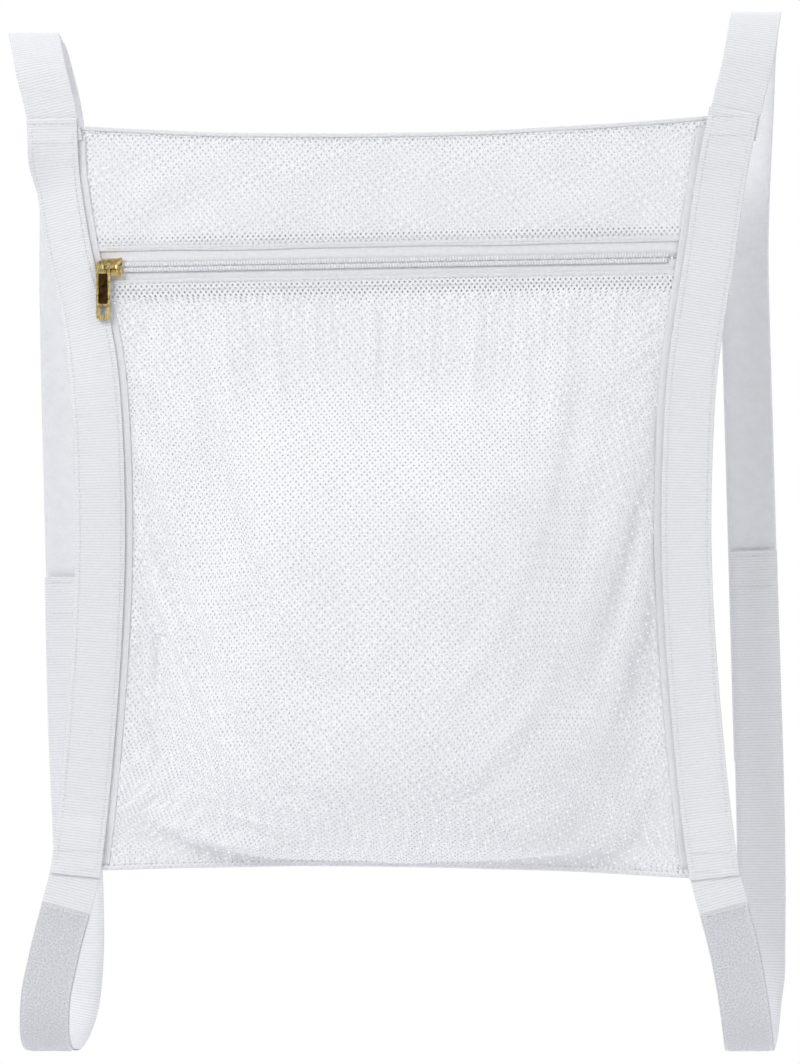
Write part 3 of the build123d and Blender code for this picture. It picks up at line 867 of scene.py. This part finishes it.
def crown_surface():
    """The sheet below the zip as a grid of points: the CAD sheet's crowned front, and flat up to the
    zip and under the bands. What stands out sharply is rounded off."""
    mesh = frame["nodes"]["front_panel_lower"].data
    polygons = [tuple(p.vertices) for p in mesh.polygons]
    tree = BVHTree.FromPolygons([v.co for v in mesh.vertices], polygons)
    reach = WEBBING_WIDTH / 2 - 3 * MM
    grid = np.zeros((CROWN_ROWS, CROWN_COLUMNS, 3))
    for r, v in enumerate(np.linspace(0, 1, CROWN_ROWS)):
        z_middle = chain_z(0) - NET_BELOW_CHAIN
        z_middle += (bottom_edge(0) - z_middle) * v
        left, right = band_x["left"](z_middle) - reach, band_x["right"](z_middle) + reach
        for c, u in enumerate(np.linspace(0, 1, CROWN_COLUMNS)):
            x = left + (right - left) * u
            z_start = chain_z(x) - NET_BELOW_CHAIN
            z = z_start + (bottom_edge(x) - z_start) * v
            hit = tree.ray_cast(Vector((x, WELL_IN_FRONT, z)), -Vector(FRONT))[0]
            grid[r, c] = x, hit.y if hit else NET_FRONT_Y, z
    softer = grid[..., 1].copy()
    for _ in range(CROWN_ROUNDING):
        around = (softer[:-2, 1:-1] + softer[2:, 1:-1] + softer[1:-1, :-2] + softer[1:-1, 2:]) / 4
        softer[1:-1, 1:-1] = (softer[1:-1, 1:-1] + around) / 2
    grid[..., 1] = np.maximum(grid[..., 1], softer)
    return grid


def filled_out(grid):
    """The crowned sheet with the folds of a cloth simulation: a little slack, blown out as if over
    its load, pulled down by its weight and held at its seams. The run stops while the sheet still
    moves, and each point stays within SIM_CAP of the crown."""
    rows, columns = grid.shape[:2]
    x, z = grid[..., 0], grid[..., 2]
    edge = np.minimum(chain_z(x) - TAPE_HALF_WIDTH - z, z - bottom_edge(x) - 6 * MM)
    edge = np.minimum(edge, seam_distance(x, z, 6 * MM))
    faces = [
        (a, a + columns, a + columns + 1, a + 1)
        for r in range(rows - 1)
        for a in range(r * columns, r * columns + columns - 1)
    ]
    points = grid.reshape(-1, 3)
    mesh = bpy.data.meshes.new("net_rest")
    mesh.from_pydata(points.tolist(), [], faces)
    piece = bpy.data.objects.new("net_rest", mesh)
    bpy.context.collection.objects.link(piece)
    pins = piece.vertex_groups.new(name="pins")
    pins.add(np.nonzero(edge.ravel() <= 0)[0].tolist(), 1.0, "REPLACE")
    cloth = piece.modifiers.new("cloth", "CLOTH")
    for key, value in CLOTH.items():
        setattr(cloth.settings, key, value)
    cloth.settings.effector_weights.gravity = SIM_GRAVITY
    cloth.collision_settings.use_collision = False
    scene = bpy.context.scene
    for step in range(1, SIM_STEPS + 1):
        scene.frame_set(step)
    moved = np.empty(len(points) * 3)
    evaluated = piece.evaluated_get(bpy.context.evaluated_depsgraph_get()).data
    evaluated.vertices.foreach_get("co", moved)
    scene.frame_set(1)
    bpy.data.objects.remove(piece)
    shift = moved.reshape(-1, 3) - points
    size = np.linalg.norm(shift, axis=1)
    capped = shift * (SIM_CAP * np.tanh(size / SIM_CAP) / np.maximum(size, 1e-9))[:, None]
    settled = points + capped
    settled[:, 1] = np.minimum(settled[:, 1], grid[0, 0, 1])
    print("net simulation: moved up to", round(size.max() / MM, 1), "mm")
    return settled.reshape(grid.shape)


def crowned_net():
    """The net below the zip. The lattice follows the surface's own lengths."""
    grid = crown_surface()
    grid = filled_out(grid)
    rows, columns = grid.shape[:2]
    across = np.linalg.norm(np.diff(grid, axis=1), axis=2)
    down = np.linalg.norm(np.diff(grid, axis=0), axis=2)
    width = across.sum(axis=1)
    depth = np.concatenate([[0], np.cumsum(down.mean(axis=1))])
    gone = np.concatenate([np.zeros((rows, 1)), np.cumsum(across, axis=1)], axis=1)
    step_x, step_z = np.gradient(grid, axis=1), np.gradient(grid, axis=0)
    normals = np.cross(step_z, step_x)
    normals *= -np.sign(normals[..., 1:2])
    normals /= np.linalg.norm(normals, axis=2)[..., None]
    flat, quads, relief = lattice(width.max(), depth[-1])
    row = np.interp(-flat[:, 1], depth, np.arange(rows))
    keep = (np.abs(flat[:, 0]) < np.interp(row, np.arange(rows), width) / 2)
    keep &= (-flat[:, 1] >= 0) & (-flat[:, 1] <= depth[-1])

    def place(chosen):
        r = np.interp(-chosen[:, 1], depth, np.arange(rows))
        r0 = np.minimum(r.astype(int), rows - 2)
        points = normal = 0
        for r_at, share in ((r0, 1 - (r - r0)), (r0 + 1, r - r0)):
            want = chosen[:, 0] + width[r_at] / 2
            c = np.array([np.interp(w, gone[i], np.arange(columns)) for w, i in zip(want, r_at)])
            c0 = np.minimum(c.astype(int), columns - 2)
            for c_at, part in ((c0, 1 - (c - c0)), (c0 + 1, c - c0)):
                weight = (share * part)[:, None]
                points = points + grid[r_at, c_at] * weight
                normal = normal + normals[r_at, c_at] * weight
        return points, normal

    piece = knitted("net_front_lower", flat, quads, keep, place, relief)
    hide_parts("front_panel_lower")
    return piece, (float(width.max()), float(depth[-1]))


net_lower, LOWER_SIZE = crowned_net()
net_upper = flat_net("net_front_upper", "front_panel_upper", top_edge,
                     lambda x: chain_z(x) + NET_ABOVE_CHAIN, NET_Y, upper_wave, UPPER_TURN)
net_back = flat_net("net_back", "back_panel", top_edge, bottom_edge, BACK_Y - 0.3 * MM, back_wave,
                    BACK_TURN)


# ---- folded edges of the net


def edge_strip(name, x, z, y, section):
    """A closed section, points of (y, z) from the edge's line, swept along a line over x."""
    section = np.array(section)
    points = np.stack([
        np.repeat(x, len(section)),
        np.repeat(y, len(section)) + np.tile(section[:, 0], len(x)),
        np.repeat(z, len(section)) + np.tile(section[:, 1], len(x)),
    ], axis=1)
    uv = np.stack([points[:, 0], points[:, 2] + points[:, 1]], axis=1)
    faces = outward(points, tube_faces(len(x), len(section)))
    piece = build(name, rolled(points), faces, SEAM_TAPE_LOOK, uv)
    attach(piece, "bag")
    return piece


def closing_fold(name, edge, up):
    """The folded seam that joins the front and back nets along the top or the bottom edge."""
    z_end = edge(0)
    x = np.arange(inner_edge("left", z_end, -9 * MM), inner_edge("right", z_end, -9 * MM), 2 * MM)
    front = NET_FRONT_Y + 0.1 * MM
    rear = BACK_Y - 0.15 * MM
    outer = [(front, -2.4), (front - 0.05 * MM, -1.0), (front + 0.9 * MM, 0.1),
             (rear - 0.9 * MM, 0.1), (rear + 0.05 * MM, -1.0), (rear, -2.4)]
    inner = [(rear - 0.35 * MM, -2.4), (rear - 0.5 * MM, -0.8), (front + 0.5 * MM, -0.8),
             (front + 0.35 * MM, -2.4)]
    section = [(y, z * up * MM) for y, z in outer + inner]
    z = edge(x) + wander(x, 3.0 * up, 0.12 * MM)
    edge_strip(name, x, z, np.zeros(len(x)), section)


def hem_roll(name, offset, up):
    """The net's folded edge beside the chain: a thin flat roll."""
    x = np.arange(COIL_LEFT - 12 * MM, COIL_RIGHT + 12 * MM, 2 * MM)
    z = chain_z(x) + offset + wander(x, offset * 900, 0.22 * MM)
    y = np.full(len(x), NET_Y)
    section = [(0.3, -0.3), (-0.15, -0.42), (-0.5, -0.1), (-0.55, 0.6), (-0.42, 1.6), (-0.1, 2.6),
               (0.25, 2.6)]
    edge_strip(name, x, z, y, [(a * MM, b * up * MM) for a, b in section])


closing_fold("top_fold", top_edge, 1)
closing_fold("bottom_fold", bottom_edge, -1)
hem_roll("net_hem_upper", NET_ABOVE_CHAIN, 1)
hem_roll("net_hem_lower", -NET_BELOW_CHAIN, -1)


# ---- zip


def zip_tape(sign, node):
    """One woven tape of the zip, with a raised line beside the coil."""
    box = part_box(node)
    x = np.arange(box[0].x, box[1].x, 2 * MM)
    y = (box[0].y + box[1].y) / 2
    reach = np.array([0.6, 3.4, 4.0, 4.6, 6.5, 12.0, 17.0, 17.0, 4.0, 0.6]) * MM
    out = np.array([0.25, 0.25, 0.42, 0.25, 0.22, 0.22, 0.15, -0.2, -0.22, -0.22]) * MM
    section = [(-o, sign * r) for r, o in zip(reach, out)]
    piece = edge_strip(f"{node}_woven", x, chain_z(x), np.full(len(x), y), section)
    piece.data.materials[0] = ZIP_TAPE_LOOK
    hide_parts(node)


def coil(sign, node):
    """One row of the coil: a moulded loop every pitch, on a corded base."""
    x = np.arange(COIL_LEFT, COIL_RIGHT, 3 * MM)
    section = [(0.25 * MM + 0.5 * MM * math.cos(a), sign * (1.38 + 1.28 * math.sin(a)) * MM)
               for a in np.linspace(0, 2 * math.pi, 9)[:-1]]
    cord = edge_strip(f"{node}_cord", x, chain_z(x), np.full(len(x), COIL_Y), section)
    cord.data.materials[0] = COIL_LOOK
    stations = [(0.34, 0.36, 0.40), (0.66, 0.54, 0.56), (1.3, 0.54, 0.56), (2.1, 0.50, 0.58),
                (2.6, 0.42, 0.42)]
    sides = 6
    points, faces = [], []
    shift = 0 if sign > 0 else TOOTH_PITCH / 2
    for place in np.arange(COIL_LEFT + TOOTH_PITCH + shift, COIL_RIGHT - TOOTH_PITCH, TOOTH_PITCH):
        first = len(points)
        for reach, half_width, half_depth in stations:
            for k in range(sides):
                angle = 2 * math.pi * k / sides
                lean = 0.12 * MM * (reach - 1.4)
                points.append((
                    place + lean + half_width * MM * math.cos(angle),
                    COIL_Y - 0.25 * MM + half_depth * MM * math.sin(angle),
                    chain_z(place) + sign * reach * MM,
                ))
        faces += [tuple(first + i for i in f) for f in tube_faces(len(stations), sides, sign > 0)]
    teeth = build(f"{node}_teeth", points, faces, COIL_LOOK)
    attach(teeth, "bag")
    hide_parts(node)


for sign, level in ((1, "upper"), (-1, "lower")):
    zip_tape(sign, f"zip_tape_{level}")
    coil(sign, f"zip_coil_{level}")


# ---- stitching


def stitch_rows(name, rows, replaced=()):
    """Stitches along rows of (points, outward): each a small rounded bar that dips at its ends."""
    length, gap, thick = 2.2 * MM, 0.9 * MM, 0.2 * MM
    stations = [(-0.5, 0.35, -0.5), (-0.36, 0.9, 0.3), (0, 1.0, 0.6), (0.36, 0.9, 0.3),
                (0.5, 0.35, -0.5)]
    points, faces = [], []
    for line, out in rows:
        line, out = np.asarray(line, float), np.asarray(out, float)
        gone = np.concatenate([[0], np.cumsum(np.linalg.norm(np.diff(line, axis=0), axis=1))])
        for place in np.arange(length, gone[-1] - length / 2, length + gap):
            at = [np.array([np.interp(place + d, gone, line[:, k]) for k in range(3)])
                  for d in (-length / 2, 0, length / 2)]
            along = (at[2] - at[0]) / np.linalg.norm(at[2] - at[0])
            side = np.cross(along, out)
            first = len(points)
            for share, size, rise in stations:
                middle = at[1] + along * share * length + out * rise * thick
                for a, b in ((1, 0), (0, 1), (-1, 0), (0, -1)):
                    points.append(middle + (side * a + out * b) * thick * size)
            faces += [tuple(first + i for i in f) for f in tube_faces(len(stations), 4)]
    points = np.array(points)
    piece = build(name, rolled(points), outward(points, faces), THREAD_LOOK)
    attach(piece, "bag")
    if replaced:
        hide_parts(*replaced)
    return piece


BAND_FRONT = WEBBING / 2 + 0.02 * MM


def band_stitch_line(side, inboard, z_high, z_low):
    """A stitch line down the band, inboard of its middle."""
    z = np.arange(z_high, z_low, -3 * MM)
    x = band_x[side](z) - SIDES[side] * inboard
    y = band_y[side](z) - BAND_FRONT
    return np.stack([x, y, z], axis=1), FRONT


def across_band(side, z):
    """A stitch line across the band's end."""
    z = np.full(9, z)
    x = band_x[side](z) + np.linspace(-1, 1, len(z)) * (WEBBING_WIDTH / 2 - 1.5 * MM)
    y = band_y[side](z) - BAND_FRONT - 0.12 * MM
    return np.stack([x, y, z], axis=1), FRONT


for side in SIDES:
    z_top, z_low = run_ends(f"side_webbing_{side}")
    edges = [band_stitch_line(side, r, z_top - 2 * MM, z_low + 2 * MM) for r in (11 * MM, -11 * MM)]
    stitch_rows(f"band_stitches_{side}", edges)
    for end, z_end, inwards in (("top", z_top, -1), ("bottom", z_low, 1)):
        node = f"corner_stitches_{end}_{side}"
        ends = [across_band(side, z_end + inwards * d * MM) for d in (3.2, 13.5)]
        stitch_rows(f"{node}_thread", ends, (node,))


def net_stitch_line(start, end, height, proud):
    """A stitch line along the net at height(x), a little proud of the net's front."""
    x = np.arange(start, end, 4 * MM)
    return np.stack([x, np.full(len(x), NET_FRONT_Y - proud), height(x)], axis=1), FRONT


zip_lines = []
for offset in (NET_ABOVE_CHAIN + 1.3 * MM, 13.5 * MM, -NET_BELOW_CHAIN - 1.3 * MM, -12.5 * MM):
    zip_lines.append(net_stitch_line(COIL_LEFT - 1 * MM, COIL_RIGHT + 1 * MM,
                                     lambda x: chain_z(x) + offset, 0.25 * MM))
stitch_rows("zip_stitches", zip_lines)

hem_lines = []
for edge, up in ((top_edge, 1), (bottom_edge, -1)):
    ends = [inner_edge(side, edge(0), 5 * MM) for side in SIDES]
    hem_lines.append(net_stitch_line(*ends, lambda x: edge(x) - up * 3.2 * MM, 0.12 * MM))
stitch_rows("edge_stitches", hem_lines)


def strap_hem(strap):
    """Two rows of thread across the start of the hook tape and across the lower tail's end."""
    start = strap.patch_start()
    for name, ways, lift in (
        ("patch", (start + 1.4 * MM, start + 4.4 * MM), WEBBING / 2 + HOOK_BASE + 0.05 * MM),
        ("end", (strap.end - 3 * MM, strap.end - 20 * MM), -WEBBING / 2 - 0.02 * MM),
    ):
        rows = []
        for way in ways:
            around = np.array([way - 0.5 * MM, way, way + 0.5 * MM])
            centre, out = strap.rows(around, lift)
            along = (centre[2] - centre[0]) / np.linalg.norm(centre[2] - centre[0])
            across = np.cross(along, out[1])
            facing = out[1] * np.sign(lift)
            reach = np.linspace(-1, 1, 7)[:, None] * (TAPE_WIDTH / 2 - 1 * MM)
            rows.append((centre[1] + across * reach, facing))
        piece = stitch_rows(f"{name}_stitches_{strap.side}", rows)
        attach(piece, "bag" if name == "patch" else f"lower_tail_{strap.side}")


for side in SIDES:
    strap_hem(straps["lower", side])


# ---- slider and pull


for name, width, look in (
    ("slider_body", 0.22 * MM, SLIDER_LOOK),
    ("pull_tab", 0.2 * MM, PULL_LOOK),
):
    part = frame["nodes"][name]
    bevel = part.modifiers.new("soft_edges", "BEVEL")
    bevel.width = width
    bevel.segments = 3
    bevel.limit_method = "ANGLE"
    bevel.angle_limit = math.radians(35)
    bevel.harden_normals = True
    for place in part.material_slots:
        place.material = look


# ---- stage, light and camera


FLOOR_RADIUS = 1.3
FLOOR_Z = -0.86
FLOOR_EDGE_RISE = 0.02
MIDDLE = (0.0, -0.03, -0.27)
LAMPS = [("key", (-1.1, -1.5, 0.9), 0.9, 19), ("fill", (1.5, -1.3, 0.2), 1.4, 6),
         ("rim", (0.6, 1.5, 0.9), 1.0, 10)]

# The room's light, which the brass reflects: bright straight in front of the bag, dark in a ring
# round that, and bright elsewhere. The ramp runs from straight in front (0) to the sides (1).
ROOM = [(0.0, 0.62), (0.0055, 0.62), (0.010, 0.02), (0.1, 0.02), (0.3, 0.66), (1.0, 0.66)]
ROOM_STRENGTH = 1.35
ROOM_TINT = (0.96, 0.975, 1, 1)

CAMERA_PLACE = (2.97 * MM, -2.03, -272.4 * MM)
SENSOR_WIDTH = 36
LENS = 166.7


def stage_floor():
    """A plain pale floor well under the hanging bag, with softly raised edges."""
    points, faces, rings, sectors = [], [], 24, 64
    for r in range(rings):
        radius = FLOOR_RADIUS * (r + 0.2) / rings
        height = FLOOR_Z + FLOOR_EDGE_RISE * (r / rings) ** 6
        for k in range(sectors):
            angle = 2 * math.pi * k / sectors
            points.append((radius * math.cos(angle), radius * math.sin(angle), height))
    for r in range(rings - 1):
        for k in range(sectors):
            a, b = r * sectors + k, r * sectors + (k + 1) % sectors
            faces.append((a, b, b + sectors, a + sectors))
    faces.append(tuple(reversed(range(sectors))))
    material, tree = shader("pale_floor", (0.9, 0.9, 0.91), 0.8)
    spot = place_on(tree, "Object")
    tinted(tree, noise(tree, spot, 3.0, 2.0), (0.88, 0.88, 0.89), (0.92, 0.92, 0.93))
    floor = build("floor", points, faces, material)


def placed(data, place, direction):
    """A lamp or the camera at a place, facing a direction."""
    made = bpy.data.objects.new(data.name, data)
    made.location = place
    made.rotation_mode = "QUATERNION"
    made.rotation_quaternion = Vector(direction).to_track_quat("-Z", "Y")
    bpy.context.collection.objects.link(made)
    return made


def area_light(name, place, size, power):
    lamp = bpy.data.lights.new(name, "AREA")
    lamp.size = size
    lamp.energy = power
    placed(lamp, place, Vector(MIDDLE) - Vector(place))


def studio_world():
    """White where the camera sees it, and the shaded room for all other light."""
    world = bpy.data.worlds.new("studio")
    world.use_nodes = True
    tree = world.node_tree
    seen = tree.nodes["Background"]
    seen.inputs["Strength"].default_value = 1.0
    seen.inputs["Color"].default_value = (1, 1, 1, 1)
    towards = add(tree, "TexCoord").outputs["Generated"]
    ahead = add(tree, "SeparateXYZ", {"Vector": towards}).outputs["Y"]
    room = add(tree, "ValToRGB", {0: maths(tree, "ADD", ahead, 1.0)})
    stops = room.color_ramp.elements
    for number, (where, level) in enumerate(ROOM):
        stop = stops[number] if number < 2 else stops.new(where)
        stop.position = where
        stop.color = (level, level, level, 1)
    strength = maths(tree, "MULTIPLY", room.outputs["Color"], ROOM_STRENGTH)
    lit = add(tree, "Background", {"Color": ROOM_TINT, "Strength": strength})
    straight = add(tree, "LightPath").outputs["Is Camera Ray"]
    mixed = add(tree, "MixShader", {0: straight, 1: lit.outputs[0], 2: seen.outputs[0]})
    tree.links.new(mixed.outputs[0], tree.nodes["World Output"].inputs["Surface"])
    bpy.context.scene.world = world
    bpy.context.scene.view_settings.view_transform = "Standard"


def front_camera():
    data = bpy.data.cameras.new("camera")
    data.sensor_width = SENSOR_WIDTH
    data.sensor_fit = "HORIZONTAL"
    data.lens = LENS
    bpy.context.scene.camera = placed(data, CAMERA_PLACE, -Vector(FRONT))


stage_floor()
for lamp in LAMPS:
    area_light(*lamp)
studio_world()
front_camera()
